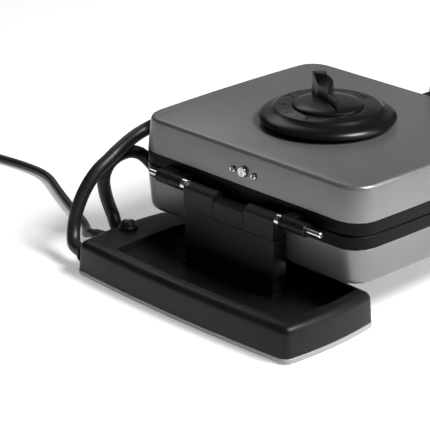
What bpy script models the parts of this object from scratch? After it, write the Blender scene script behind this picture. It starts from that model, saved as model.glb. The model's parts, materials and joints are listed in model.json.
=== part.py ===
"""A turn-over double waffle maker: a weighted base with a post, and two hinged cooking halves.

Metres, +Z up. The handles point towards -Y and the base is at +Y. The origin is on the table,
in the middle of the whole appliance without its cords. Lengths below are in millimetres and
mm() turns them into metres.
"""

from math import cos, pi, radians, sin, sqrt, tau

import bmesh
import bpy
from mathutils import Matrix, Vector

for old in list(bpy.data.objects):
    bpy.data.objects.remove(old, do_unlink=True)

GAP = 0.3  # between touching pieces

# The whole appliance.
HALF_LENGTH = 188.6  # from the middle to the handles' tips, and to the back of the base
HINGE_Y = 120.2
HINGE_Z = 82.9  # both halves turn about this line, which is also where they part
FLIPPED = 2 * HINGE_Z  # a height z becomes FLIPPED - z when the halves are turned over

# The two cooking halves.
BODY_REAR_Y = 108.4
BODY_FRONT_Y = -109.6
BODY_HALF_WIDTH = 125.0
BODY_BOW = 3.2  # how far the sides curve out
BODY_CORNER = 20.0
BODY_DRAFT = 2.6
PARTING = 0.3  # half of the gap between the two frames
FRAME_HEIGHT = 10.8
SHELL_TOP_Z = 124.0
SHELL_WALL = 1.6
SHELL_FILLET = 3.6
LOWER_BOTTOM_Z = 40.2
LOWER_FILLET = 5.0
LOWER_BOTTOM_DRAFT = 2.4
FRAME_RIM = 13.0
PLATE_HALF_WIDTH = 101.0
PLATE_FRONT_Y = -92.0
PLATE_REAR_Y = 91.0
PLATE_THICKNESS = 15.0
WAFFLE_COLUMNS = 4
WAFFLE_ROWS = 7
WAFFLE_RECESS = 11.0
STUD_HEIGHT = 8.2

# The base and its post.
BASE_HALF_WIDTH = 122.2
BASE_REAR_Y = 183.7
BASE_FRONT_Y = 81.6
BASE_BOW_LONG = 4.4
BASE_BOW_SHORT = 4.0
BASE_CORNER = 6.0
BASE_TOP_Z = 31.0
BASE_FILLET = 6.5
BASE_DRAFT = 1.0
PLATE_BOTTOM_Z = 0.9
PLATE_TOP_Z = 5.2
TRAY_Z = 15.7
TRAY_FLOOR = 2.8
TRAY_RIGHT_X = 84.2
TRAY_LEFT_X = -110.2
TRAY_FRONT_Y = 87.6
TRAY_REAR_Y = 172.4
TRAY_BOW = 2.8
# The tray's floor rises towards the lamp: x and z.
TRAY_RAMP = ((50.0, 15.2), (54.0, 15.8), (61.0, 16.6), (68.0, 18.0), (75.0, 19.9), (82.0, 22.2),
             (90.0, 25.0))
LAMP_X = 111.1
LAMP_Y = 134.4
LAMP_BEZEL = (
    (5.3, 26.5), (5.3, 31.2), (8.0, 31.3), (8.2, 31.9), (8.1, 33.4), (6.9, 34.4), (6.3, 36.6),
    (5.2, 37.6), (4.05, 37.7), (4.05, 26.5),
)  # radius, z
SCREW_PLACES = ((-76.0, 133.7), (76.0, 133.7))  # the screws in the base plate
POST_HALF_WIDTH = 51.5
POST_REAR_Y = 125.4
POST_FRONT_Y = 109.8
POST_TOP_Z = 65.0
BLOCK_REAR_Y = 125.9
BLOCK_FRONT_Y = 113.6
BLOCK_TOP_Z = 83.5
BLOCK_CREST_Z = 87.0
BLOCK_MIDDLE_TOP_Z = 81.2
BLOCK_SPLIT_X = 17.5

# The fasteners in the rear wall: x, z, head radius.
REAR_FASTENERS = ((11.9, 104.9, 3.1), (-11.9, 104.9, 3.1), (0.0, 106.0, 4.8))
HANDLE_SCREW_X = (-16.0, 16.0)
HANDLE_SCREW_Z = 106.0

# The hinge.
PIN_RADIUS = 2.5
PIN_END_X = 98.4
PIN_INNER_X = 30.0
KNUCKLE_RADIUS = 5.8

# The thermostat dial.
DIAL_Y = 7.1
# The skirt's outside from its foot to the flat ring: radius, height above the cover.
SKIRT_PROFILE = (
    (54.0, 1.8), (57.4, 4.3), (58.2, 5.1), (58.3, 5.8), (57.4, 7.6), (55.6, 9.1), (53.4, 10.2),
    (50.7, 10.95), (47.9, 12.0), (46.3, 13.3), (44.9, 14.4),
)
RING_RADIUS = 44.6
RING_HEIGHT = 14.6
KNOB_RADIUS = 29.5
KNOB_LIFT = 15.9
GRIP_TURN = radians(149.5)
# The grip's sections from its tail to its nose: distance, half width, ridge place from the near
# side (-1) to the far side (1), and the heights of the ridge and of the near edge above the cover.
GRIP_SECTIONS = (
    (-29.0, 5.6, -0.7, 35.6, 34.4), (-28.2, 5.9, -0.7, 36.3, 35.4), (-24.5, 5.6, -0.5, 36.7, 35.0),
    (-21.0, 5.2, -0.3, 37.1, 33.2), (-17.5, 4.9, -0.1, 37.5, 30.4), (-14.0, 4.6, 0.1, 37.9, 28.2),
    (-10.0, 4.2, 0.3, 38.3, 27.5), (-3.0, 3.5, 0.5, 38.9, 27.4), (4.0, 2.8, 0.6, 39.3, 27.4),
    (7.6, 2.4, 0.6, 38.9, 27.4), (8.0, 2.4, 0.3, 28.2, 27.4), (17.0, 1.5, 0.2, 27.7, 27.4),
    (25.6, 0.7, 0.1, 27.4, 27.2), (26.4, 0.5, 0.0, 27.0, 26.8),
)

# The cords. The jumpers run from the base's end wall to the side walls of the two halves.
JUMPER_RADIUS = 5.85
MAINS_RADIUS = 3.85
COIL_RADIUS = 43.0
COIL_SECTION = 8.2  # half of the height and of the width of the wound turns
COIL_CENTRE = (418.0, 116.0)
PLUG_PLACE = radians(20.0)  # where on the coil the lead leaves it for the plug
PLUG_REACH = 30.6  # from there to the end of the plug's boot
PLUG_TILT = radians(20.4)
SLEEVE = 0.8  # the wall of a strain relief where it passes through a cover
FLANGE = 9.0
SLEEVE_HOLE = 2 * GAP + SLEEVE  # how much wider than the cord the cover's hole is
# Each strain relief: its y and z, the radius of its cord, and how far its boot reaches.
RELIEFS = {
    "upper_jumper_gland": (171.0, 14.8, JUMPER_RADIUS, 5.0),
    "mains_gland": (140.4, 14.8, MAINS_RADIUS, 22.0),
    "lower_jumper_gland": (121.4, 14.8, JUMPER_RADIUS, 5.0),
    "upper_shell_gland": (66.0, 104.4, JUMPER_RADIUS, 6.0),
    "lower_shell_gland": (73.4, 58.6, JUMPER_RADIUS, 6.0),
}
# The routes between them, in millimetres; z is the height above the table.
UPPER_JUMPER_BASE = [
    (141.8, 169.4, 17.0), (147.4, 165.4, 22.8), (150.4, 161.6, 31.0), (151.0, 157.4, 42.6),
    (150.0, 150.9, 56.2), (148.4, 143.2, 67.4), (147.4, 134.4, 75.4),
]
# Where the upper jumper crosses the hinge line, and its direction there.
PARTING_POINT = (147.0, HINGE_Y, HINGE_Z)
PARTING_HEADING = (0.02, -0.89, 0.46)
UPPER_JUMPER_LID = [(149.2, 104.6, 88.4), (152.0, 88.4, 92.2), (151.2, 75.7, 95.7), (144.8, 68.5, 100.7)]
LOWER_JUMPER = [
    (142.6, 120.0, 18.6), (149.6, 117.4, 25.8), (153.4, 118.6, 35.0), (154.8, 121.8, 48.0),
    (155.4, 122.6, 61.0), (156.2, 116.4, 71.4), (157.4, 103.6, 76.4), (156.6, 90.2, 77.0),
    (153.0, 81.0, 73.6), (147.4, 76.0, 66.8), (141.0, 73.9, 60.6),
]
MAINS_ROUTE = [
    (160.6, 137.9, 12.4), (168.6, 133.0, 8.4), (176.4, 126.0, 5.3), (184.0, 119.2, 4.2),
    (192.0, 114.0, 4.1), (200.4, 109.8, 4.1), (212.8, 104.5, 4.1), (232.7, 95.7, 4.1), (253.9, 86.0, 4.1),
    (276.7, 75.2, 4.1), (299.9, 64.2, 4.1), (316.0, 59.8, 4.1), (334.0, 58.8, 4.1), (353.0, 60.2, 4.1),
    (372.0, 62.7, 4.1),
]
MAINS_END = ((395.2, 65.7, 4.1), (388.0, 64.8, 4.1))  # where it runs into the coil, and just before


def mm(*values):
    return tuple(v * 0.001 for v in values)


# ---------------------------------------------------------------- materials

def material(name, colour, roughness, metallic=0.0):
    made = bpy.data.materials.new(name)
    made.use_nodes = True
    shader = made.node_tree.nodes["Principled BSDF"]
    shader.inputs["Base Color"].default_value = (*colour, 1.0)
    shader.inputs["Roughness"].default_value = roughness
    shader.inputs["Metallic"].default_value = metallic
    made.diffuse_color = (*colour, 1.0)
    return made


FINISHES = {
    "shell_steel": ((0.16, 0.16, 0.165), 0.38, 1.0),
    "black_plastic": ((0.018, 0.018, 0.019), 0.5, 0.0),
    "handle_plastic": ((0.02, 0.02, 0.021), 0.42, 0.0),
    "dial_plastic": ((0.022, 0.022, 0.023), 0.36, 0.0),
    "base_metal": ((0.2, 0.2, 0.2), 0.45, 1.0),
    "pin_steel": ((0.75, 0.75, 0.76), 0.2, 1.0),
    "screw_steel": ((0.6, 0.6, 0.61), 0.28, 1.0),
    "cast_plate": ((0.06, 0.06, 0.062), 0.45, 0.6),
    "heater_steel": ((0.25, 0.24, 0.22), 0.4, 1.0),
    "reflector_steel": ((0.62, 0.62, 0.62), 0.3, 1.0),
    "rubber": ((0.015, 0.015, 0.015), 0.7, 0.0),
    "cord_rubber": ((0.02, 0.02, 0.02), 0.55, 0.0),
    "lens_red": ((0.35, 0.02, 0.06), 0.15, 0.0),
    "lamp_glass": ((0.9, 0.45, 0.25), 0.1, 0.0),
    "terminal_plastic": ((0.75, 0.73, 0.68), 0.5, 0.0),
}


def finish(node, slot):
    """Names, colours and shades one object."""
    colour, roughness, metallic = FINISHES[slot]
    node.data.materials.clear()
    node.data.materials.append(material(node.name, colour, roughness, metallic))
    if node.type == "MESH":
        node.data.shade_smooth()
        node.data.set_sharp_from_angle(angle=radians(35.0))
    return node


# ---------------------------------------------------------------- shapes

def add_mesh(name, build):
    """An object from the bmesh that build() fills."""
    mesh = bpy.data.meshes.new(name)
    work = bmesh.new()
    build(work)
    bmesh.ops.recalc_face_normals(work, faces=work.faces[:])
    work.to_mesh(mesh)
    work.free()
    node = bpy.data.objects.new(name, mesh)
    bpy.context.collection.objects.link(node)
    return node


def rounded(half_width, front, rear, corner, bow_x=0.0, bow_y=0.0, corner_steps=4, side_steps=5):
    """The (x, y) points of a rounded rectangle whose sides curve out, anticlockwise."""
    middle = (front + rear) / 2
    half_depth = (rear - front) / 2
    points = []
    for quarter in range(4):
        turn = quarter * pi / 2
        cx = (half_width - corner) * (1 if quarter in (0, 3) else -1)
        cy = (half_depth - corner) * (1 if quarter in (0, 1) else -1)
        for k in range(corner_steps + 1):
            a = turn + k * pi / 2 / corner_steps
            points.append((cx + corner * cos(a), cy + corner * sin(a)))
        if quarter % 2 == 0:
            run, end = (half_width - corner), (-1 if quarter == 0 else 1)
            for k in range(1, side_steps):
                points.append((cx + end * 2 * run * k / side_steps, points[-1][1]))
        else:
            run, end = (half_depth - corner), (-1 if quarter == 1 else 1)
            for k in range(1, side_steps):
                points.append((points[-1][0], cy + end * 2 * run * k / side_steps))
    bowed = []
    for x, y in points:
        u = x / half_width
        v = y / half_depth
        bowed.append((x + bow_x * u * (1 - v * v), middle + y + bow_y * v * (1 - u * u)))
    return bowed


def loft(name, rings, closed=False):
    """A solid through rings of equal point counts, each ((x, y) points, z); closed joins the ends."""
    def build(work):
        loops = [[work.verts.new(mm(x, y, z)) for x, y in points] for points, z in rings]
        pairs = list(zip(loops, loops[1:]))
        if closed:
            pairs.append((loops[-1], loops[0]))
        for a, b in pairs:
            for i in range(len(a)):
                j = (i + 1) % len(a)
                work.faces.new((a[i], a[j], b[j], b[i]))
        if not closed:
            work.faces.new(loops[0])
            work.faces.new(loops[-1])
    return add_mesh(name, build)


def box(name, low, high, bevel=0.0):
    """A box between two corners, its edges rounded by bevel."""
    def build(work):
        bmesh.ops.create_cube(work, size=1.0)
        size = Vector(mm(*(h - l for l, h in zip(low, high))))
        middle = Vector(mm(*((h + l) / 2 for l, h in zip(low, high))))
        bmesh.ops.transform(work, verts=work.verts,
                            matrix=Matrix.Translation(middle) @ Matrix.Diagonal((*size, 1.0)))
        if bevel:
            bmesh.ops.bevel(work, geom=work.edges[:], offset=bevel * 0.001, segments=2, profile=0.5,
                            affect="EDGES")
    return add_mesh(name, build)


def frame_along(axis):
    """The rotation that turns +Z to a direction."""
    return Vector((0, 0, 1)).rotation_difference(Vector(axis)).to_matrix().to_4x4()


def turned(name, profile, centre=(0, 0, 0), axis=(0, 0, 1), steps=32, closed=False):
    """A turned solid: profile is (radius, height) from one end of the axis to the other, or a closed ring."""
    def build(work):
        start = [work.verts.new(mm(r, 0, z)) for r, z in profile]
        edges = [work.edges.new(pair) for pair in zip(start, start[1:])]
        if closed:
            edges.append(work.edges.new((start[-1], start[0])))
        bmesh.ops.spin(work, geom=start + edges, cent=(0, 0, 0), axis=(0, 0, 1), angle=tau, steps=steps,
                       use_merge=True, use_duplicate=False)
        bmesh.ops.remove_doubles(work, verts=work.verts[:], dist=1e-6)
        bmesh.ops.transform(work, verts=work.verts,
                            matrix=Matrix.Translation(mm(*centre)) @ frame_along(axis))
    return add_mesh(name, build)


def rod(name, start, end, radius, steps=16, chamfer=0.0):
    """A round bar between two points."""
    length = (Vector(end) - Vector(start)).length
    if chamfer:
        profile = [(0, 0), (radius - chamfer, 0), (radius, chamfer), (radius, length - chamfer),
                   (radius - chamfer, length), (0, length)]
    else:
        profile = [(0, 0), (radius, 0), (radius, length), (0, length)]
    return turned(name, profile, start, Vector(end) - Vector(start), steps)


def prism(name, outline, low_x, high_x):
    """A solid of one (y, z) outline between two x places."""
    def build(work):
        low = [work.verts.new(mm(low_x, y, z)) for y, z in outline]
        high = [work.verts.new(mm(high_x, y, z)) for y, z in outline]
        work.faces.new(low)
        work.faces.new(high)
        for i in range(len(outline)):
            j = (i + 1) % len(outline)
            work.faces.new((low[i], low[j], high[j], high[i]))
    return add_mesh(name, build)


def combine(node, tool, operation="DIFFERENCE"):
    """Cuts tool out of node, or joins it on. The tool stays as a hidden wire guide."""
    change = node.modifiers.new(operation.lower(), "BOOLEAN")
    change.operation = operation
    change.object = tool
    tool.hide_render = True
    tool.hide_set(True)
    tool.display_type = "WIRE"
    return node


def cut(node, *tools):
    for tool in tools:
        combine(node, tool)
    return node


def join(node, *tools):
    for tool in tools:
        combine(node, tool, "UNION")
    return node


# ---------------------------------------------------------------- cords

def smooth_path(route, step):
    """Evenly spaced points on one smooth curve through the route's points."""
    pts = [Vector(p) for p in route]
    pts = [2 * pts[0] - pts[1]] + pts + [2 * pts[-1] - pts[-2]]
    fine = []
    for p0, p1, p2, p3 in zip(pts, pts[1:], pts[2:], pts[3:]):
        t1 = sqrt((p1 - p0).length)
        t2 = t1 + sqrt((p2 - p1).length)
        t3 = t2 + sqrt((p3 - p2).length)
        for k in range(12):
            t = t1 + (t2 - t1) * k / 12
            a1 = p0 * ((t1 - t) / t1) + p1 * (t / t1)
            a2 = p1 * ((t2 - t) / (t2 - t1)) + p2 * ((t - t1) / (t2 - t1))
            a3 = p2 * ((t3 - t) / (t3 - t2)) + p3 * ((t - t2) / (t3 - t2))
            b1 = a1 * ((t2 - t) / t2) + a2 * (t / t2)
            b2 = a2 * ((t3 - t) / (t3 - t1)) + a3 * ((t - t1) / (t3 - t1))
            fine.append(b1 * ((t2 - t) / (t2 - t1)) + b2 * ((t - t1) / (t2 - t1)))
    fine.append(pts[-2])
    lengths = [0.0]
    for a, b in zip(fine, fine[1:]):
        lengths.append(lengths[-1] + (b - a).length)
    count = max(2, round(lengths[-1] / step))
    spaced = []
    at = 0
    for k in range(count + 1):
        goal = lengths[-1] * k / count
        while at < len(fine) - 2 and lengths[at + 1] < goal:
            at += 1
        share = (goal - lengths[at]) / (lengths[at + 1] - lengths[at])
        spaced.append(fine[at].lerp(fine[at + 1], share))
    return spaced


def tube(name, points, radius, sides=3):
    """A round cord along points, as a curve with a bevel and filled caps."""
    curve = bpy.data.curves.new(name, "CURVE")
    curve.dimensions = "3D"
    curve.bevel_depth = radius * 0.001
    curve.bevel_resolution = sides
    curve.use_fill_caps = True
    line = curve.splines.new("POLY")
    line.points.add(len(points) - 1)
    for spot, p in zip(line.points, points):
        spot.co = (*mm(*p), 1.0)
    node = bpy.data.objects.new(name, curve)
    bpy.context.collection.objects.link(node)
    return node


def bulge(y, front, rear, bow):
    """How far a curved side wall stands out under a flange centred at y."""
    off = max(abs(y - (front + rear) / 2) - FLANGE, 0.0) * 2 / (rear - front)
    return bow * (1 - off * off)


def wall_under(name):
    """Where a strain relief's flange meets its wall, and the wall's outward direction."""
    y, z = RELIEFS[name][:2]
    if "shell" in name:
        half = name.split("_")[0]
        rings, rim, face = shell_rings(half)
        (first, z0), (second, z1) = rings[:2]
        x = BODY_HALF_WIDTH + bulge(y, BODY_FRONT_Y, BODY_REAR_Y, BODY_BOW)
    else:
        first, z0, second, z1 = 0.0, PLATE_TOP_Z + GAP, BASE_DRAFT, BASE_TOP_Z - BASE_FILLET
        x = BASE_HALF_WIDTH + bulge(y, BASE_FRONT_Y, BASE_REAR_Y, BASE_BOW_SHORT)
    slope = (second - first) / (z1 - z0)
    return Vector((x - slope * (z - z0), y, z)), Vector((1, 0, slope)).normalized()


def leaving(name):
    """The two points where a cord starts, straight out of its strain relief."""
    place, out = wall_under(name)
    mouth = place + out * (RELIEFS[name][3] + GAP)
    return [mouth, mouth + out * 4.0]


def cord_points(start, route, end, step):
    """A cord whose first and last short stretches, (face, inner point), are straight."""
    return [start[0], *smooth_path([start[1], *route, end[1]], step), end[0]]


# ---------------------------------------------------------------- base

def base_outline(inset=0.0, bow=1.0, steps=6):
    return rounded(BASE_HALF_WIDTH - inset, BASE_FRONT_Y + inset, BASE_REAR_Y - inset,
                   BASE_CORNER - inset * 0.5, BASE_BOW_SHORT * bow, BASE_BOW_LONG * bow, side_steps=steps)


def tray_outline():
    """The edge of the tray in the base's top. It leaves a flat place for the lamp on one side."""
    points = []
    for k in range(9):
        t = k / 8
        points.append((TRAY_RIGHT_X + TRAY_BOW * (1 - (2 * t - 1) ** 2),
                       TRAY_FRONT_Y + (TRAY_REAR_Y - TRAY_FRONT_Y) * t))
    for t in (0.7, 0.35, 0.0, -0.35, -0.7):
        points.append((TRAY_RIGHT_X * t, TRAY_REAR_Y + TRAY_BOW * (1 - t * t)))
    points += [(TRAY_LEFT_X + 9.0, TRAY_REAR_Y), (TRAY_LEFT_X + 3.5, TRAY_REAR_Y - 2.4),
               (TRAY_LEFT_X + 1.0, TRAY_REAR_Y - 7.0)]
    for k in range(5):
        t = 1 - k / 4
        y = TRAY_FRONT_Y + 5.0 + (TRAY_REAR_Y - TRAY_FRONT_Y - 17.0) * t
        points.append((TRAY_LEFT_X + 1.0 - TRAY_BOW * (1 - (2 * t - 1) ** 2), y))
    points += [(TRAY_LEFT_X + 2.2, TRAY_FRONT_Y + 1.4), (TRAY_LEFT_X + 5.0, TRAY_FRONT_Y)]
    return points


def extrude_y(name, outline, low, high):
    """A solid with an (x, z) outline between two values of y."""
    def build(work):
        ends = [[work.verts.new(mm(x, y, z)) for x, z in outline] for y in (low, high)]
        for i in range(len(outline)):
            j = (i + 1) % len(outline)
            work.faces.new((ends[0][i], ends[0][j], ends[1][j], ends[1][i]))
        for ring in ends:
            work.faces.new(ring)
    return add_mesh(name, build)


def make_base_housing():
    rings = [(base_outline(), PLATE_TOP_Z + GAP), (base_outline(BASE_DRAFT), BASE_TOP_Z - BASE_FILLET)]
    for k in range(1, 5):
        a = k * pi / 8
        inset = BASE_DRAFT + BASE_FILLET * (1 - cos(a))
        rings.append((base_outline(inset), BASE_TOP_Z - BASE_FILLET * (1 - sin(a))))
    housing = loft("base_housing", rings)
    outline = tray_outline()
    tray = loft("tray_cutter", [(outline, TRAY_Z), (outline, BASE_TOP_Z + 5)])
    cut(tray, extrude_y("tray_ramp", [*TRAY_RAMP, (120.0, 24.0), (120.0, 5.0), (50.0, 5.0)], 60.0, 200.0))
    deep = box("cavity_cutter", (92.0, BASE_FRONT_Y + 7, PLATE_TOP_Z - 1),
               (BASE_HALF_WIDTH - 3.6, BASE_REAR_Y - 7, BASE_TOP_Z - 3.0))
    wide = loft("shallow_cutter", [(base_outline(3.8), PLATE_TOP_Z - 1),
                                   (base_outline(3.8), TRAY_Z - TRAY_FLOOR)])
    cut(housing, tray, wide, deep)
    lamp_hole = rod("lamp_cutter", (LAMP_X, LAMP_Y, 20), (LAMP_X, LAMP_Y, 40), 5.6)
    cut(housing, lamp_hole)
    for label in ("upper_jumper_gland", "mains_gland", "lower_jumper_gland"):
        cut(housing, relief_cutter(label))
    for k, x in enumerate((-30.0, 30.0)):
        slot = box(f"bracket_cutter_{k}", (x - 12.4, 115.6 - GAP, 10), (x + 12.4, 119.6 + GAP, 20))
        cut(housing, slot)
    return finish(housing, "black_plastic")



def make_base_plate():
    plate = loft("base_plate", [(base_outline(), PLATE_BOTTOM_Z),
                                (base_outline(-0.5), PLATE_BOTTOM_Z + 0.8),
                                (base_outline(-0.5), PLATE_TOP_Z - 0.6), (base_outline(), PLATE_TOP_Z)])
    for side in (-1, 1):
        outline = foot_outline(side, GAP)
        cut(plate, loft(f"foot_cutter_{side}", [(outline, -2), (outline, 3.0 + GAP)]))
    for k, (x, y) in enumerate(SCREW_PLACES):
        cut(plate, rod(f"screw_cutter_{k}", (x, y, -2), (x, y, 9), 2.4),
            rod(f"head_cutter_{k}", (x, y, -2), (x, y, 3.2), 4.4))
    return finish(plate, "base_metal")


def foot_outline(side, grow):
    points = rounded(6.0 + grow, 92.0 - grow, 175.0 + grow, 5.0, corner_steps=3, side_steps=1)
    return [(x + side * 106.0, y) for x, y in points]


def make_base_feet():
    for name, side in (("base_foot_right", 1), ("base_foot_left", -1)):
        rings = [(foot_outline(side, -0.8), 0.0), (foot_outline(side, 0.0), 0.8),
                 (foot_outline(side, 0.0), 3.0)]
        finish(loft(name, rings), "rubber")


def screw(name, centre, axis, head_radius, head_height, shank_radius, shank_length, steps=12):
    """A pan-head screw with its head towards axis."""
    profile = [(0, -shank_length), (shank_radius, -shank_length), (shank_radius, 0), (head_radius, 0),
               (head_radius, head_height * 0.55), (head_radius * 0.72, head_height), (0, head_height)]
    return turned(name, profile, centre, axis, steps)


def make_base_screws():
    for name, (x, y) in zip(("base_screw_left", "base_screw_right"), SCREW_PLACES):
        finish(screw(name, (x, y, 2.9), (0, 0, -1), 4.0, 1.6, 2.0, 6.6), "screw_steel")


def make_post():
    column = loft("post_column", [
        (rounded(POST_HALF_WIDTH + 1.0, POST_FRONT_Y, POST_REAR_Y + 1.0, 1.2, corner_steps=2,
                 side_steps=1), TRAY_Z + GAP),
        (rounded(POST_HALF_WIDTH + 1.0, POST_FRONT_Y, POST_REAR_Y + 1.0, 1.2, corner_steps=2,
                 side_steps=1), TRAY_Z + 1.4),
        (rounded(POST_HALF_WIDTH, POST_FRONT_Y, POST_REAR_Y, 1.2, corner_steps=2, side_steps=1),
         TRAY_Z + 1.8),
        (rounded(POST_HALF_WIDTH, POST_FRONT_Y, POST_REAR_Y, 1.2, corner_steps=2, side_steps=1),
         POST_TOP_Z),
    ])
    cut(column, box("post_hollow", (-48.5, 112.6, 10), (48.5, 122.6, 62.0)))
    for k, x in enumerate((-30.0, 30.0)):
        cut(column, box(f"post_slot_{k}", (x - 12.4, 115.6 - GAP, 50), (x + 12.4, 119.6 + GAP, 70)))
    finish(column, "black_plastic")
    bracket = box("post_bracket", (-44, 115.6, TRAY_Z + 1), (44, 119.6, 60))
    for x in (-30.0, 30.0):
        join(bracket, box(f"bracket_leg_{x:+.0f}", (x - 12, 115.6, PLATE_TOP_Z + GAP),
                          (x + 12, 119.6, TRAY_Z + 5)))
        join(bracket, box(f"bracket_ear_{x:+.0f}", (x - 12, 115.6, 55), (x + 12, 119.6, 70.5)))
    finish(bracket, "base_metal")


def block_outline(top, crest):
    """The (y, z) outline of a hinge block: flat faces and a roof over the pin."""
    low = POST_TOP_Z + GAP
    if crest <= top:
        return [(BLOCK_FRONT_Y, low), (BLOCK_REAR_Y, low), (BLOCK_REAR_Y, top - 0.8),
                (BLOCK_REAR_Y - 0.8, top), (BLOCK_FRONT_Y, top)]
    return [(BLOCK_FRONT_Y, low), (BLOCK_REAR_Y, low), (BLOCK_REAR_Y, top - 0.5),
            (BLOCK_REAR_Y - 0.5, top),
            (HINGE_Y - 1.2, crest - 0.1), (HINGE_Y - 2.4, crest), (BLOCK_FRONT_Y, crest - 3.0)]


def make_hinge_blocks():
    inner = BLOCK_SPLIT_X + GAP / 2
    places = (("hinge_block_right", inner, POST_HALF_WIDTH),
              ("hinge_block_left", -POST_HALF_WIDTH, -inner))
    for name, low, high in places:
        block = prism(name, block_outline(BLOCK_TOP_Z, BLOCK_CREST_Z), low, high)
        outer = high if high > 0 else low
        side = 1 if high > 0 else -1
        cut(block, rod(f"{name}_bore", (side * (PIN_INNER_X - GAP), HINGE_Y, HINGE_Z),
                       (outer + side * 5, HINGE_Y, HINGE_Z), PIN_RADIUS + GAP, 16))
        cut(block, box(f"{name}_slot", (side * 30 - 12.4, 115.6 - GAP, 60),
                       (side * 30 + 12.4, 119.6 + GAP, 71.0)))
        finish(block, "black_plastic")
    middle = prism("hinge_block_middle", block_outline(BLOCK_MIDDLE_TOP_Z, 0.0), -BLOCK_SPLIT_X + GAP / 2,
                   BLOCK_SPLIT_X - GAP / 2)
    for side in (-1, 1):
        cut(middle, box(f"middle_slot_{side}", (side * 30 - 12.4, 115.6 - GAP, 60),
                        (side * 30 + 12.4, 119.6 + GAP, 71.0)))
    finish(middle, "black_plastic")


def make_hinge_pins():
    for name, side in (("hinge_pin_right", 1), ("hinge_pin_left", -1)):
        pin = rod(name, (side * PIN_INNER_X, HINGE_Y, HINGE_Z), (side * PIN_END_X, HINGE_Y, HINGE_Z),
                  PIN_RADIUS, 16, 0.6)
        finish(pin, "pin_steel")
    for name, low, high in (("hinge_washer_right", 51.9, 56.3), ("hinge_washer_left", -56.3, -51.9)):
        ring = [(PIN_RADIUS + GAP, 0), (5.4, 0), (5.4, high - low), (PIN_RADIUS + GAP, high - low)]
        finish(turned(name, ring, (low, HINGE_Y, HINGE_Z), (1, 0, 0), 16, closed=True), "pin_steel")


def make_lamp():
    bezel = turned("lamp_bezel", LAMP_BEZEL, (LAMP_X, LAMP_Y, 0), steps=20, closed=True)
    finish(bezel, "black_plastic")
    lens = turned("lamp_lens", [(0, 33.0), (3.75, 33.0), (3.75, 37.4), (2.6, 38.2), (0, 38.6)],
                  (LAMP_X, LAMP_Y, 0), steps=16)
    finish(lens, "lens_red")
    neon = turned("neon_lamp", [(0, 19.0), (2.4, 19.0), (2.9, 20.4), (2.9, 29.6), (1.8, 32.0), (0, 32.6)],
                  (LAMP_X, LAMP_Y, 0), steps=12)
    finish(neon, "lamp_glass")


def make_terminal_block():
    block = box("terminal_block", (99.5, 100.0, PLATE_TOP_Z + GAP), (114.5, 126.0, 19.0), 0.8)
    for k in range(3):
        y = 105.0 + 8.0 * k
        cut(block, rod(f"clamp_cutter_{k}", (95, y, 12), (120, y, 12), 2.0, 10))
    finish(block, "terminal_plastic")


def relief_cutter(name):
    """The hole in the wall for a strain relief."""
    place, out = wall_under(name)
    return rod(f"{name}_cutter", place - out * 12, place + out * 12, RELIEFS[name][2] + SLEEVE_HOLE, 20)


def make_relief(name):
    """A rubber strain relief: a sleeve through the wall, a flange and a boot that tapers."""
    place, out = wall_under(name)
    cord_radius, reach = RELIEFS[name][2:]
    hole = cord_radius + GAP
    profile = [(hole, -7.0), (hole + SLEEVE, -7.0), (hole + SLEEVE, GAP), (FLANGE, GAP), (FLANGE, 2.0),
               (FLANGE - 0.9, 2.8), (hole + SLEEVE, reach), (hole, reach)]
    return finish(turned(name, profile, place, out, 20, closed=True), "rubber")


def make_cords():
    for name in RELIEFS:
        make_relief(name)
    middle, heading = Vector(PARTING_POINT), Vector(PARTING_HEADING).normalized()
    before = [middle - heading * (GAP / 2), middle - heading * 4.0]
    after = [middle + heading * (GAP / 2), middle + heading * 4.0]
    jumpers = (("upper_jumper_base_run", leaving("upper_jumper_gland"), UPPER_JUMPER_BASE, before),
               ("upper_jumper_lid_run", after, UPPER_JUMPER_LID, leaving("upper_shell_gland")),
               ("lower_jumper", leaving("lower_jumper_gland"), LOWER_JUMPER,
                leaving("lower_shell_gland")))
    for name, start, route, end in jumpers:
        finish(tube(name, cord_points(start, route, end, 11.0), JUMPER_RADIUS), "cord_rubber")
    run = cord_points(leaving("mains_gland"), MAINS_ROUTE, [Vector(p) for p in MAINS_END], 11.0)
    finish(tube("mains_cord", run, MAINS_RADIUS, 2), "cord_rubber")
    inner, outer, top = COIL_RADIUS - COIL_SECTION, COIL_RADIUS + COIL_SECTION, 2 * COIL_SECTION
    ring = [(inner + 2, 0.2), (outer - 2, 0.2), (outer, 2.5), (outer, top - 2), (outer - 2, top),
            (inner + 2, top), (inner, top - 2), (inner, 2.5)]
    finish(turned("mains_coil", ring, (*COIL_CENTRE, 0), steps=36, closed=True), "cord_rubber")


def make_plug():
    """A straight moulded plug with two round pins, lying beside the coil."""
    across = Vector((cos(PLUG_PLACE), sin(PLUG_PLACE), 0))
    out = Vector((-sin(PLUG_PLACE), cos(PLUG_PLACE), 0))
    boot_end = Vector((*COIL_CENTRE, 5.6)) + across * (COIL_RADIUS + COIL_SECTION / 2) + out * PLUG_REACH
    axis = out * cos(PLUG_TILT) + Vector((0, 0, sin(PLUG_TILT)))
    profile = [(0, 0), (5.0, 0), (6.0, 1.2), (7.0, 20.0), (11.0, 27.0), (17.2, 32.0), (18.0, 33.5),
               (18.0, 44.5), (17.2, 45.5), (0, 45.5)]
    plug = turned("mains_plug", profile, boot_end, axis, 24)
    for k, side in enumerate((-9.5, 9.5)):
        foot = boot_end + axis * 40 + across * side
        join(plug, rod(f"plug_pin_{k}", foot, foot + axis * 24, 2.4, 12, 0.8))
    finish(plug, "black_plastic")


# ---------------------------------------------------------------- cooking halves

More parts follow.
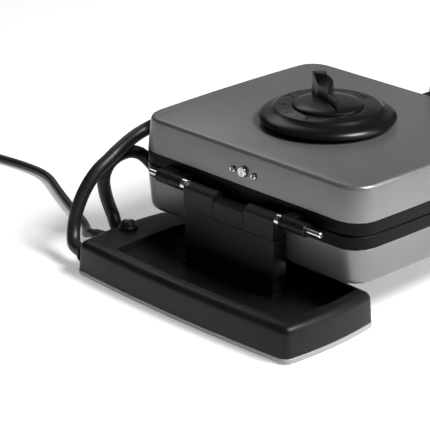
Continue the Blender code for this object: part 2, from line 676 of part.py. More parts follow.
def half_outline(inset, bow=1.0, steps=5):
    return rounded(BODY_HALF_WIDTH - inset, BODY_FRONT_Y + inset, BODY_REAR_Y - inset,
                   BODY_CORNER - inset * 0.6, BODY_BOW * bow, 0.0, side_steps=steps)


def over(half, z):
    """The height z of the upper half, turned over for the lower half."""
    return z if half == "upper" else FLIPPED - z


def shell_rings(half):
    """The outside of one steel cover, from its open rim to its closed face."""
    rim = HINGE_Z + PARTING + FRAME_HEIGHT + GAP
    if half == "upper":
        face, fillet, draft = SHELL_TOP_Z, SHELL_FILLET, BODY_DRAFT
    else:
        face, fillet, draft = FLIPPED - LOWER_BOTTOM_Z, LOWER_FILLET, LOWER_BOTTOM_DRAFT
    rings = [(0.0, rim), (draft * 0.8, face - fillet)]
    for k in range(1, 5):
        a = k * pi / 8
        rings.append((draft * 0.8 + fillet * (1 - cos(a)), face - fillet * (1 - sin(a))))
    return [(inset, over(half, z)) for inset, z in rings], rim, face


def make_shell(half):
    name = f"{half}_shell"
    outside, rim, face = shell_rings(half)
    inside = [(BODY_DRAFT + SHELL_WALL + 3.0, over(half, face - SHELL_WALL)),
              (SHELL_WALL, over(half, rim))]
    inside.insert(1, (BODY_DRAFT + SHELL_WALL, over(half, face - SHELL_WALL - 4.5)))
    rings = [(half_outline(inset), z) for inset, z in inside + outside]
    shell = loft(name, rings)
    cut(shell, relief_cutter(f"{half}_shell_gland"))
    if half == "upper":
        cut(shell, rod("spindle_cutter", (0, DIAL_Y, face - 8), (0, DIAL_Y, face + 8), 6.0, 16))
        for k, (x, height, radius) in enumerate(REAR_FASTENERS):
            cut(shell, rod(f"fastener_cutter_{k}", (x, BODY_REAR_Y - 8, height),
                           (x, BODY_REAR_Y + 8, height), radius * 0.5 + GAP, 12))
    for k, x in enumerate(HANDLE_SCREW_X):
        height = over(half, HANDLE_SCREW_Z)
        cut(shell, rod(f"{half}_handle_cutter_{k}", (x, BODY_FRONT_Y - 8, height),
                       (x, BODY_FRONT_Y + 10, height), 2.3, 10))
    return finish(shell, "shell_steel")


def make_frame(half):
    """The black ring between a cover and its plate."""
    low = HINGE_Z + PARTING
    rings = [(half_outline(0.6), over(half, low)), (half_outline(0.0), over(half, low + 0.6)),
             (half_outline(0.0), over(half, low + FRAME_HEIGHT)),
             (half_outline(FRAME_RIM), over(half, low + FRAME_HEIGHT)),
             (half_outline(FRAME_RIM), over(half, low))]
    return finish(loft(f"{half}_frame", rings, closed=True), "black_plastic")


def make_plate(half):
    """A cast waffle plate: two recesses, each with a field of studs."""
    face = HINGE_Z + PARTING + 0.2
    rim_x, divider, rim_y = 9.0, 4.0, 8.0
    column = (PLATE_HALF_WIDTH - rim_x - divider) / WAFFLE_COLUMNS
    row = (PLATE_REAR_Y - PLATE_FRONT_Y - 2 * rim_y) / WAFFLE_ROWS
    right = [divider + column * k for k in range(WAFFLE_COLUMNS + 1)]
    xs = [-PLATE_HALF_WIDTH] + [-x for x in reversed(right)] + right + [PLATE_HALF_WIDTH]
    ys = [PLATE_FRONT_Y] + [PLATE_FRONT_Y + rim_y + row * k for k in range(WAFFLE_ROWS + 1)] + [PLATE_REAR_Y]

    def build(work):
        grid = [[work.verts.new(mm(x, y, 0)) for y in ys] for x in xs]
        cells = []
        for i in range(len(xs) - 1):
            for j in range(len(ys) - 1):
                face_here = work.faces.new((grid[i][j], grid[i + 1][j], grid[i + 1][j + 1],
                                            grid[i][j + 1]))
                in_column = i not in (0, WAFFLE_COLUMNS + 1, len(xs) - 2)
                if in_column and j not in (0, len(ys) - 2):
                    cells.append(face_here)
        sides = bmesh.ops.extrude_edge_only(work, edges=[e for e in work.edges if e.is_boundary])["geom"]
        back = [v for v in sides if isinstance(v, bmesh.types.BMVert)]
        bmesh.ops.translate(work, verts=back, vec=mm(0, 0, -PLATE_THICKNESS))
        bmesh.ops.contextual_create(work, geom=[e for e in work.edges if e.is_boundary])
        bmesh.ops.recalc_face_normals(work, faces=work.faces[:])
        bmesh.ops.inset_region(work, faces=cells, thickness=0.0022, depth=-WAFFLE_RECESS * 0.001,
                               use_even_offset=True)
        bmesh.ops.inset_individual(work, faces=cells, thickness=0.0036, depth=0.0)
        bmesh.ops.inset_individual(work, faces=cells, thickness=0.0016, depth=STUD_HEIGHT * 0.001)
        if half == "upper":
            bmesh.ops.transform(work, verts=work.verts, matrix=Matrix.Diagonal((1, 1, -1, 1)))
        bmesh.ops.translate(work, verts=work.verts, vec=mm(0, 0, over(half, face)))
    return finish(add_mesh(f"{half}_plate", build), "cast_plate")


def make_heater(half):
    """A bent tubular element behind the plate, with its two terminals at the rear."""
    z = HINGE_Z + PARTING + 0.2 + PLATE_THICKNESS + 3.6
    route = [(-24, 84), (-70, 80), (-78, 60), (-78, -60), (-66, -78), (0, -82), (66, -78), (78, -60),
             (78, 60), (70, 80), (24, 84)]
    path = smooth_path([(x, y, over(half, z)) for x, y in route], 22.0)
    return finish(tube(f"{half}_heater", path, 3.2, 1), "heater_steel")


def make_reflector(half):
    low = HINGE_Z + PARTING + 0.2 + PLATE_THICKNESS + 7.4
    outline = rounded(94.0, -86.0, 86.0, 10.0, corner_steps=2, side_steps=1)
    rings = [(outline, over(half, low)), (outline, over(half, low + 1.0))]
    reflector = loft(f"{half}_reflector", rings)
    if half == "upper":
        cut(reflector, rod("thermostat_cutter", (0, DIAL_Y, low - 3), (0, DIAL_Y, low + 4), 16.0, 20))
    return finish(reflector, "reflector_steel")


def arm_outline(half):
    """The (y, z) outline of a hinge knuckle and the arm that joins it to its frame."""
    points = []
    for k in range(13):
        a = radians(80 - k * 250 / 12)
        points.append((HINGE_Y - KNUCKLE_RADIUS * sin(a), HINGE_Z - KNUCKLE_RADIUS * cos(a)))
    wall = BODY_REAR_Y + GAP
    arm = [(wall, HINGE_Z + KNUCKLE_RADIUS), (wall, HINGE_Z + 2.0)]
    outline = points + arm
    return [(y, over(half, z)) for y, z in outline]


def make_hinge_arms(half):
    spans = {"lower": ((56.8, 71.2), (-83.0, -68.4)), "upper": ((71.6, 86.0), (-68.0, -56.8))}[half]
    for name, (low, high) in zip((f"{half}_hinge_arm_right", f"{half}_hinge_arm_left"), spans):
        arm = prism(name, arm_outline(half), low, high)
        cut(arm, rod(f"{name}_bore", (low - 3, HINGE_Y, HINGE_Z), (high + 3, HINGE_Y, HINGE_Z),
                     PIN_RADIUS + GAP, 16))
        finish(arm, "black_plastic")


def make_handle(half):
    """A moulded grip that reaches forwards from the front wall, with a hollow for the fingers under it."""
    near = BODY_FRONT_Y - 0.6
    outline = [(near, 88.6), (near, 119.0), (near - 8, 117.5), (near - 22, 108.0), (near - 40, 104.5),
               (near - 66, 104.0), (-HALF_LENGTH + 4, 101.0), (-HALF_LENGTH, 96.5), (-HALF_LENGTH, 87.0),
               (-HALF_LENGTH + 3, HINGE_Z + 1.0), (near - 30, HINGE_Z + 1.0), (near - 14, 85.0)]
    handle = prism(f"{half}_handle", [(y, over(half, z)) for y, z in outline], -30.0, 30.0)
    edge = handle.modifiers.new("edge", "BEVEL")
    edge.width = 0.003
    edge.segments = 2
    edge.limit_method = "ANGLE"
    edge.angle_limit = radians(50.0)
    edge.use_clamp_overlap = True
    for k, x in enumerate(HANDLE_SCREW_X):
        height = over(half, HANDLE_SCREW_Z)
        cut(handle, rod(f"{half}_insert_cutter_{k}", (x, near + 2, height), (x, near - 12, height), 2.0,
                        10))
    return finish(handle, "handle_plastic")


def make_leg(half):
    """The leg under the grip. The upper one carries the appliance when it is turned over."""
    top = 104.9
    foot = FLIPPED - 3.4
    low_y, high_y = -HALF_LENGTH + 18.0, -HALF_LENGTH + 36.0
    rings = []
    for k in range(4):
        t = k / 3
        inset = 3.0 * t
        z = top + (foot - top) * t
        rings.append((rounded(24.0 - inset, low_y + inset, high_y - inset * 0.5, 4.0, corner_steps=2,
                              side_steps=1), over(half, z)))
    finish(loft(f"{half}_leg", rings), "handle_plastic")
    pad_low = foot + GAP
    pad_high = FLIPPED if half == "lower" else FLIPPED - 0.8
    outline = rounded(19.0, low_y + 5, high_y - 3, 3.0, corner_steps=2, side_steps=1)
    small = rounded(18.2, low_y + 5.8, high_y - 3.8, 3.0, corner_steps=2, side_steps=1)
    finish(loft(f"{half}_leg_pad", [(outline, over(half, pad_low)), (outline, over(half, pad_high - 0.8)),
                                    (small, over(half, pad_high))]), "rubber")


def make_handle_bracket(half):
    """A steel strip inside the front wall, with two studs that hold the handle."""
    height = over(half, HANDLE_SCREW_Z)
    near = BODY_FRONT_Y + SHELL_WALL + BODY_DRAFT + 0.9
    strip = box(f"{half}_handle_bracket", (-26, near, height - 6), (26, near + 2.5, height + 6))
    for k, x in enumerate(HANDLE_SCREW_X):
        join(strip, rod(f"{half}_stud_{k}", (x, near + 1, height), (x, near - 14, height), 1.6, 10))
    return finish(strip, "screw_steel")


def make_rear_fasteners():
    face = BODY_REAR_Y - 0.4
    for name, (x, z, radius) in zip(("rear_rivet_right", "rear_rivet_left"), REAR_FASTENERS):
        ring = [(1.0, -5.0), (radius * 0.5, -5.0), (radius * 0.5, 0.3), (radius, 0.3), (radius, 0.8),
                (radius * 0.7, 1.3), (1.0, 1.0)]
        finish(turned(name, ring, (x, face, z), (0, 1, 0), 16, closed=True), "screw_steel")
    x, z, radius = REAR_FASTENERS[2]
    head = turned("rear_screw", [(0, -6.0), (radius * 0.5, -6.0), (radius * 0.5, 0.3), (radius, 0.3),
                                 (radius, 1.6), (radius - 0.7, 2.2), (0, 2.2)],
                  (x, face, z), (0, 1, 0), 20)
    cut(head, box("screw_slot", (x - 0.6, face + 1.2, z - radius), (x + 0.6, face + 4, z + radius)))
    finish(head, "screw_steel")


def make_thermostat():
    low = HINGE_Z + PARTING + PLATE_THICKNESS + 4.0
    body = turned("thermostat", [(0, low), (12.0, low), (14.0, low + 1.5),
                                 (14.0, SHELL_TOP_Z - SHELL_WALL - 5.0),
    (0, SHELL_TOP_Z - SHELL_WALL - 5.0)],
                  (0, DIAL_Y, 0), steps=20)
    finish(body, "reflector_steel")


# ---------------------------------------------------------------- dial and knob

def make_dial():
    top = SHELL_TOP_Z + GAP
    side = [(r, SHELL_TOP_Z + z) for r, z in SKIRT_PROFILE]
    profile = [(8.0, top), (53.0, top), *side, (RING_RADIUS, SHELL_TOP_Z + RING_HEIGHT),
               (30.2, SHELL_TOP_Z + RING_HEIGHT),
               (29.9, SHELL_TOP_Z + RING_HEIGHT - 0.3), (29.9, SHELL_TOP_Z + 9.0),
               (8.0, SHELL_TOP_Z + 9.0)]
    return finish(turned("dial_skirt", profile, (0, DIAL_Y, 0), steps=64, closed=True), "dial_plastic")


def make_knob():
    low = SHELL_TOP_Z + 9.0 + GAP + 0.3
    edge = SHELL_TOP_Z + KNOB_LIFT
    disc = turned("knob", [(0, low), (KNOB_RADIUS - 0.4, low), (KNOB_RADIUS, low + 0.5),
                           (KNOB_RADIUS, edge - 0.3), (KNOB_RADIUS - 0.3, edge + 0.4),
                           (KNOB_RADIUS - 1.6, edge + 1.2), (22.0, edge + 2.3), (12.0, edge + 3.1),
                           (0, edge + 3.4)], (0, 0, 0), steps=48)

    def build(work):
        loops = []
        for x, half, place, ridge, near in GRIP_SECTIONS:
            ridge += SHELL_TOP_Z
            near += SHELL_TOP_Z
            crest = half * place
            far = near + (ridge - near) * 0.35
            ring = [(-half, edge + 0.3), (half, edge + 0.3), (half, far),
                    ((half + crest) / 2, ridge - (ridge - far) * 0.3),
                    (crest, ridge), ((crest - half) / 2, near + (ridge - near) * 0.62),
                    (-half * 0.9, near + (ridge - near) * 0.12), (-half, near)]
            loops.append([work.verts.new(mm(x, y, z)) for y, z in ring])
        for a, b in zip(loops, loops[1:]):
            for i in range(len(a)):
                j = (i + 1) % len(a)
                work.faces.new((a[i], a[j], b[j], b[i]))
        work.faces.new(loops[0])
        work.faces.new(loops[-1])
    grip = add_mesh("knob_grip", build)
    join(disc, grip)
    disc.matrix_world = Matrix.Translation(mm(0, DIAL_Y, 0)) @ Matrix.Rotation(GRIP_TURN, 4, "Z")
    grip.matrix_world = disc.matrix_world
    cut(disc, rod("spindle_bore", (0, DIAL_Y, low - 2), (0, DIAL_Y, low + 7), 3.3, 12))
    finish(disc, "dial_plastic")
    spindle = rod("knob_spindle", (0, DIAL_Y, SHELL_TOP_Z - SHELL_WALL - 5.0 + GAP),
                  (0, DIAL_Y, low + 6.5), 3.0, 12, 0.5)
    finish(spindle, "screw_steel")


# ---------------------------------------------------------------- assembly

make_base_housing()
make_base_plate()
make_base_feet()
make_base_screws()
make_post()
make_hinge_blocks()
make_hinge_pins()
make_lamp()
make_terminal_block()
make_cords()
make_plug()
for each_half in ("lower", "upper"):
    make_shell(each_half)
    make_frame(each_half)
    make_plate(each_half)
    make_heater(each_half)
    make_reflector(each_half)
    make_hinge_arms(each_half)
    make_handle(each_half)
    make_leg(each_half)
    make_handle_bracket(each_half)
make_rear_fasteners()
make_thermostat()
make_dial()
make_knob()
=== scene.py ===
"""Looks for a turn-over double waffle maker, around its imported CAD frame.

Metres, +Z up: the handles point towards -Y, the base is at +Y and the cables are at +X.
Lengths in the tables are in millimetres, and mm() turns them into metres.
"""

import json
from math import cos, pi, radians, sin, sqrt, tau

import bmesh
import bpy
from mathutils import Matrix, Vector

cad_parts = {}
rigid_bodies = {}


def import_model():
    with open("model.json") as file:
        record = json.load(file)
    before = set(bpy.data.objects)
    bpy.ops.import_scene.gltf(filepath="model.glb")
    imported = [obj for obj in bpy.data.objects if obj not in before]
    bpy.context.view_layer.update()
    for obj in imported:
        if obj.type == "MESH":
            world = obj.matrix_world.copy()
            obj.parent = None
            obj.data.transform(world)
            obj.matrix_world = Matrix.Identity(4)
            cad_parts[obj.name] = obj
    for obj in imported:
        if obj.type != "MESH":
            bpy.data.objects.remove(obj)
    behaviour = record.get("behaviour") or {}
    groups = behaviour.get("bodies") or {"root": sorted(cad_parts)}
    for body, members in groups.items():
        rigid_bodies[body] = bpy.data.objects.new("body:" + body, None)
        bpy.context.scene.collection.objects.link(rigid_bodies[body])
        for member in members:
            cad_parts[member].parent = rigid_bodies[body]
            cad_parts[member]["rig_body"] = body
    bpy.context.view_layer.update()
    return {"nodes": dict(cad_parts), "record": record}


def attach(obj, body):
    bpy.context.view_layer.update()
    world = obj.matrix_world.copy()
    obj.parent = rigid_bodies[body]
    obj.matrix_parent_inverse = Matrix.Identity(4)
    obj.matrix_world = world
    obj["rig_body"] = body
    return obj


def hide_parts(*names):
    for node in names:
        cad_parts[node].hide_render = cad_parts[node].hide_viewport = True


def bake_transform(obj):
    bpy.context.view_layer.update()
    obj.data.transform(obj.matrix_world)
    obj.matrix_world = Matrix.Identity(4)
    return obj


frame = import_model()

nodes = frame["nodes"]


def mm(*values):
    return tuple(v * 0.001 for v in values)


# ---------------------------------------------------------------- camera

VIEW_TARGET = Vector((0.032, 0.1084, 0.0588))
VIEW_TURN = radians(45.55)
VIEW_PITCH = radians(22.43)
VIEW_DISTANCE = 1.6457
FOCAL_PIXELS = 1979.5  # for a picture 430 wide
PICTURE = 430
SENSOR = 36.0


def make_camera():
    away = Vector((sin(VIEW_TURN) * cos(VIEW_PITCH), -cos(VIEW_TURN) * cos(VIEW_PITCH), -sin(VIEW_PITCH)))
    data = bpy.data.cameras.new("camera")
    data.sensor_width = SENSOR
    data.lens = FOCAL_PIXELS / PICTURE * SENSOR
    data.clip_end = 20.0
    camera = bpy.data.objects.new("camera", data)
    bpy.context.collection.objects.link(camera)
    camera.location = VIEW_TARGET - away * VIEW_DISTANCE
    camera.rotation_euler = away.to_track_quat("-Z", "Y").to_euler()
    bpy.context.scene.camera = camera


make_camera()


# ---------------------------------------------------------------- material helpers

def new_material(name):
    made = bpy.data.materials.new(name)
    made.use_nodes = True
    tree = made.node_tree
    return made, tree, tree.nodes["Principled BSDF"]


def add(tree, kind, **values):
    """A shader node; values go to its properties or, failing that, to its inputs."""
    node = tree.nodes.new(kind)
    for key, value in values.items():
        if hasattr(node, key):
            setattr(node, key, value)
        else:
            node.inputs[key.replace("_", " ")].default_value = value
    return node


def noise(tree, scale, detail=3.0, rough=0.5, stretch=None):
    """Object-space noise, stretched along an axis when asked."""
    place = add(tree, "ShaderNodeTexCoord")
    node = add(tree, "ShaderNodeTexNoise", Scale=scale, Detail=detail, Roughness=rough)
    if stretch:
        mapping = add(tree, "ShaderNodeMapping")
        mapping.inputs["Scale"].default_value = stretch
        tree.links.new(place.outputs["Object"], mapping.inputs["Vector"])
        tree.links.new(mapping.outputs["Vector"], node.inputs["Vector"])
    else:
        tree.links.new(place.outputs["Object"], node.inputs["Vector"])
    return node.outputs["Fac"]


def spread(tree, source, low, high, start=0.3, end=0.7):
    """Maps start..end of a value onto low..high."""
    node = add(tree, "ShaderNodeMapRange")
    tree.links.new(source, node.inputs["Value"])
    for key, value in (("From Min", start), ("From Max", end), ("To Min", low), ("To Max", high)):
        node.inputs[key].default_value = value
    return node.outputs["Result"]


def mix_colours(tree, factor, first, second):
    node = add(tree, "ShaderNodeMix", data_type="RGBA")
    tree.links.new(factor, node.inputs["Factor"])
    node.inputs[6].default_value = (*first, 1.0)
    node.inputs[7].default_value = (*second, 1.0)
    return node.outputs[2]


def bump(tree, shader, height, strength, distance):
    node = add(tree, "ShaderNodeBump", Strength=strength, Distance=distance)
    tree.links.new(height, node.inputs["Height"])
    tree.links.new(node.outputs["Normal"], shader.inputs["Normal"])
    return node


def painted_edge_highlight(tree):
    """Painted highlight mask: bright where the surface turns outwards sharply."""
    geometry = add(tree, "ShaderNodeNewGeometry")
    return spread(tree, geometry.outputs["Pointiness"], 0.0, 1.0, 0.5, 0.62)


def brushed_steel(name, colour, roughness):
    """Dark satin steel: fine cross grain, faint clouding and a painted highlight that brightens its
    edges.
    """
    made, tree, shader = new_material(name)
    shader.inputs["Metallic"].default_value = 0.6
    grain = noise(tree, 900.0, 4.0, 0.6, (0.2, 1.0, 1.0))
    cloud = noise(tree, 14.0, 3.0)
    light = tuple(c * 1.16 for c in colour)
    dark = tuple(c * 0.9 for c in colour)
    tone = mix_colours(tree, spread(tree, cloud, 0.0, 1.0), dark, light)
    # Painted highlight: the steel's colour is brightened 1.7 times along sharp outward edges.
    edge_highlighted = add(tree, "ShaderNodeMix", data_type="RGBA")
    tree.links.new(painted_edge_highlight(tree), edge_highlighted.inputs["Factor"])
    tree.links.new(tone, edge_highlighted.inputs[6])
    edge_highlighted.inputs[7].default_value = (*[min(1.0, c * 1.7) for c in colour], 1.0)
    tree.links.new(edge_highlighted.outputs[2], shader.inputs["Base Color"])
    tree.links.new(spread(tree, grain, roughness - 0.05, roughness + 0.07), shader.inputs["Roughness"])
    bump(tree, shader, grain, 0.12, 0.0002)
    return made


def moulded_plastic(name, colour, roughness, grain_scale=1500.0, relief=0.1, gloss=0.2):
    """Black moulded plastic with a fine spark-eroded grain."""
    made, tree, shader = new_material(name)
    shader.inputs["Specular IOR Level"].default_value = gloss
    grain = noise(tree, grain_scale, 2.0, 0.6)
    cloud = noise(tree, 22.0, 3.0)
    lighter = tuple(c * 1.5 for c in colour)
    tree.links.new(mix_colours(tree, spread(tree, cloud, 0.0, 1.0), colour, lighter),
                   shader.inputs["Base Color"])
    tree.links.new(spread(tree, cloud, roughness - 0.04, roughness + 0.05), shader.inputs["Roughness"])
    bump(tree, shader, grain, relief, 0.0002)
    return made


def polished_metal(name, colour, roughness, stretch=(1.0, 1.0, 1.0)):
    made, tree, shader = new_material(name)
    shader.inputs["Metallic"].default_value = 1.0
    lines = noise(tree, 700.0, 3.0, 0.6, stretch)
    dark = tuple(c * 0.82 for c in colour)
    tree.links.new(mix_colours(tree, spread(tree, lines, 0.0, 1.0), dark, colour),
                   shader.inputs["Base Color"])
    tree.links.new(spread(tree, lines, roughness - 0.04, roughness + 0.08), shader.inputs["Roughness"])
    bump(tree, shader, lines, 0.08, 0.0001)
    return made


def painted_metal(name, colour, roughness):
    made, tree, shader = new_material(name)
    shader.inputs["IOR"].default_value = 1.5
    peel = noise(tree, 420.0, 2.0)
    cloud = noise(tree, 16.0, 3.0)
    darker = tuple(c * 0.85 for c in colour)
    tree.links.new(mix_colours(tree, spread(tree, cloud, 0.0, 1.0), darker, colour),
                   shader.inputs["Base Color"])
    tree.links.new(spread(tree, cloud, roughness - 0.05, roughness + 0.06), shader.inputs["Roughness"])
    bump(tree, shader, peel, 0.15, 0.0003)
    return made


def cast_coating(name, colour):
    """Dark non-stick coating over a cast plate."""
    made, tree, shader = new_material(name)
    shader.inputs["Metallic"].default_value = 0.3
    shader.inputs["Coat Weight"].default_value = 0.2
    speckle = noise(tree, 1300.0, 2.0, 0.7)
    sand = noise(tree, 320.0, 4.0)
    lighter = tuple(c * 2.2 for c in colour)
    tree.links.new(mix_colours(tree, spread(tree, speckle, 0.0, 1.0, 0.5, 0.75), colour, lighter),
                   shader.inputs["Base Color"])
    tree.links.new(spread(tree, sand, 0.36, 0.5), shader.inputs["Roughness"])
    bump(tree, shader, sand, 0.2, 0.0003)
    return made


def tinted_lens(name, colour):
    made, tree, shader = new_material(name)
    shader.inputs["Roughness"].default_value = 0.12
    shader.inputs["IOR"].default_value = 1.49
    shader.inputs["Coat Weight"].default_value = 0.6
    shader.inputs["Subsurface Weight"].default_value = 0.2
    depth = noise(tree, 260.0, 2.0)
    darker = tuple(c * 0.55 for c in colour)
    tree.links.new(mix_colours(tree, spread(tree, depth, 0.0, 1.0), darker, colour),
                   shader.inputs["Base Color"])
    return made


def rubber_sheath(name, colour, roughness):
    """A cord's rubber: matte, with very fine marks and a little dust."""
    made, tree, shader = new_material(name)
    shader.inputs["IOR"].default_value = 1.5
    marks = noise(tree, 900.0, 3.0, 0.65)
    dust = noise(tree, 60.0, 4.0)
    lighter = tuple(c * 1.9 for c in colour)
    tree.links.new(mix_colours(tree, spread(tree, dust, 0.0, 1.0, 0.35, 0.8), colour, lighter),
                   shader.inputs["Base Color"])
    tree.links.new(spread(tree, marks, roughness - 0.06, roughness + 0.08), shader.inputs["Roughness"])
    bump(tree, shader, marks, 0.12, 0.0002)
    return made


MATERIALS = {
    "shell_steel": brushed_steel("shell_steel_look", (0.165, 0.165, 0.168), 0.34),
    "black_plastic": moulded_plastic("black_plastic_look", (0.0065, 0.0065, 0.007), 0.38),
    "handle_plastic": moulded_plastic("handle_plastic_look", (0.009, 0.009, 0.0095), 0.42),
    "dial_plastic": moulded_plastic("dial_plastic_look", (0.004, 0.004, 0.0043), 0.27, 1100.0, 0.06,
                                    0.32),
    "frame_plastic": moulded_plastic("frame_plastic_look", (0.003, 0.003, 0.0032), 0.42, gloss=0.1),
    "base_metal": painted_metal("base_metal_look", (0.36, 0.36, 0.36), 0.4),
    "pin_steel": polished_metal("pin_steel_look", (0.82, 0.82, 0.83), 0.16, (0.1, 1.0, 1.0)),
    "screw_steel": polished_metal("screw_steel_look", (0.66, 0.66, 0.67), 0.24),
    "cast_plate": cast_coating("cast_plate_look", (0.02, 0.02, 0.021)),
    "heater_steel": polished_metal("heater_steel_look", (0.3, 0.28, 0.25), 0.38),
    "reflector_steel": polished_metal("reflector_steel_look", (0.7, 0.7, 0.7), 0.28, (1.0, 0.1, 1.0)),
    "rubber": rubber_sheath("rubber_look", (0.008, 0.008, 0.008), 0.6),
    "cord_rubber": rubber_sheath("cord_rubber_look", (0.007, 0.007, 0.0072), 0.42),
    "lens_red": tinted_lens("lens_red_look", (0.2, 0.012, 0.07)),
    "lamp_glass": tinted_lens("lamp_glass_look", (0.8, 0.4, 0.25)),
    "terminal_plastic": moulded_plastic("terminal_plastic_look", (0.5, 0.48, 0.44), 0.45),
}


def dress(piece, slot):
    piece.data.materials.clear()
    piece.data.materials.append(MATERIALS[slot])
    return piece


slots = {part["node"]: part["material_slot"] for part in frame["record"]["subparts"]}
for name, slot in slots.items():
    dress(nodes[name], slot)


# ---------------------------------------------------------------- rounded edges

# Pieces seen from outside: the width of the rounding on their edges, in millimetres.
ROUNDED = {
    "upper_shell": 0.5, "lower_shell": 0.5, "upper_frame": 0.35, "lower_frame": 0.35,
    "base_housing": 0.4, "base_plate": 0.35, "base_foot_left": 0.3, "base_foot_right": 0.3,
    "post_column": 0.35, "hinge_block_left": 0.35, "hinge_block_right": 0.35, "hinge_block_middle": 0.35,
    "hinge_pin_left": 0.2, "hinge_pin_right": 0.2, "hinge_washer_left": 0.2, "hinge_washer_right": 0.2,
    "upper_hinge_arm_left": 0.35, "upper_hinge_arm_right": 0.35,
    "lower_hinge_arm_left": 0.35, "lower_hinge_arm_right": 0.35,
    "lamp_bezel": 0.25, "lamp_lens": 0.3, "rear_rivet_left": 0.15, "rear_rivet_right": 0.15,
    "rear_screw": 0.2, "dial_skirt": 0.3, "knob": 0.35, "upper_handle": 0.5, "lower_handle": 0.5,
    "upper_leg": 0.4, "lower_leg": 0.4, "upper_leg_pad": 0.3, "lower_leg_pad": 0.3,
    "upper_jumper_gland": 0.25, "lower_jumper_gland": 0.25, "mains_gland": 0.25,
    "upper_shell_gland": 0.25, "lower_shell_gland": 0.25, "mains_plug": 0.4,
    "upper_plate": 0.3, "lower_plate": 0.3,
}
SMOOTH_ANGLE = 34.0
WELD = 0.000002


def refined(name, width):
    """A finer copy of a CAD piece, with its facets smoothed and its edges slightly rounded."""
    source = nodes[name]
    work = bmesh.new()
    work.from_mesh(source.data)
    bmesh.ops.remove_doubles(work, verts=work.verts, dist=WELD)
    bmesh.ops.dissolve_limit(work, angle_limit=radians(0.5), verts=work.verts, edges=work.edges)
    bmesh.ops.recalc_face_normals(work, faces=work.faces[:])
    mesh = bpy.data.meshes.new(f"{name}_fine")
    work.to_mesh(mesh)
    work.free()
    mesh.shade_smooth()
    mesh.set_sharp_from_angle(angle=radians(SMOOTH_ANGLE))
    piece = bpy.data.objects.new(f"{name}_fine", mesh)
    bpy.context.collection.objects.link(piece)
    piece.matrix_world = source.matrix_world
    rounding = piece.modifiers.new("rounding", "BEVEL")
    rounding.width = width * 0.001
    rounding.segments = 2
    rounding.limit_method = "ANGLE"
    rounding.angle_limit = radians(SMOOTH_ANGLE)
    rounding.harden_normals = True
    dress(piece, slots[name])
    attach(piece, source["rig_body"])
    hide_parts(name)
    return piece


fine = {name: refined(name, width) for name, width in ROUNDED.items()}
for name in ("upper_frame", "lower_frame"):
    dress(fine[name], "frame_plastic")


# ---------------------------------------------------------------- cords

JUMPER_RADIUS = 5.85
MAINS_RADIUS = 3.85
PARTING_POINT = (147.0, 120.2, 82.9)  # where the upper jumper crosses the hinge line
PARTING_HEADING = Vector((0.02, -0.89, 0.46)).normalized()
# Each cord starts at a strain relief's mouth: the face and a point straight out from it.
MOUTHS = {
    "upper_jumper_gland": ((129.7, 171.0, 15.08), (133.69, 171.0, 15.29)),
    "mains_gland": ((147.98, 140.4, 15.97), (151.97, 140.4, 16.18)),
    "lower_jumper_gland": ((130.99, 121.4, 15.08), (134.99, 121.4, 15.29)),
    "upper_shell_gland": ((132.78, 66.0, 104.9), (136.77, 66.0, 105.22)),
    "lower_shell_gland": ((132.4, 73.4, 58.14), (136.39, 73.4, 57.85)),
}
UPPER_JUMPER_BASE = [
    (141.8, 169.4, 17.0), (147.4, 165.4, 22.8), (150.4, 161.6, 31.0), (151.0, 157.4, 42.6),
    (150.0, 150.9, 56.2), (148.4, 143.2, 67.4), (147.4, 134.4, 75.4),
]
UPPER_JUMPER_LID = [(149.2, 104.6, 88.4), (152.0, 88.4, 92.2), (151.2, 75.7, 95.7), (144.8, 68.5, 100.7)]
LOWER_JUMPER = [
    (142.6, 120.0, 18.6), (149.6, 117.4, 25.8), (153.4, 118.6, 35.0), (154.8, 121.8, 48.0),
    (155.4, 122.6, 61.0), (156.2, 116.4, 71.4), (157.4, 103.6, 76.4), (156.6, 90.2, 77.0),
    (153.0, 81.0, 73.6), (147.4, 76.0, 66.8), (141.0, 73.9, 60.6),
]
MAINS_ROUTE = [
    (160.6, 137.9, 12.4), (168.6, 133.0, 8.4), (176.4, 126.0, 5.3), (184.0, 119.2, 4.2),
    (192.0, 114.0, 4.1), (200.4, 109.8, 4.1), (212.8, 104.5, 4.1), (232.7, 95.7, 4.1), (253.9, 86.0, 4.1),
    (276.7, 75.2, 4.1), (299.9, 64.2, 4.1), (316.0, 59.8, 4.1), (334.0, 58.8, 4.1), (353.0, 60.2, 4.1),
    (372.0, 62.7, 4.1), (388.0, 64.8, 4.1), (400.0, 66.4, 4.1),
]
COIL_CENTRE = (418.0, 116.0)
COIL_OUTER = 47.1
COIL_INNER = 38.9
COIL_LOW = 4.15
COIL_HIGH = 12.35
# Degrees around the coil: its ends, where its turns move inwards, up and outwards, and over how far.
COIL_START = -80
COIL_END = 1100
COIL_STEP = 12
COIL_INWARD = 175
COIL_CLIMB = 490
COIL_OUTWARD = 815
COIL_EASE = 65
PLUG_PLACE = radians(20.0)
PLUG_REACH = 30.6
PLUG_BOOT_Z = 5.6


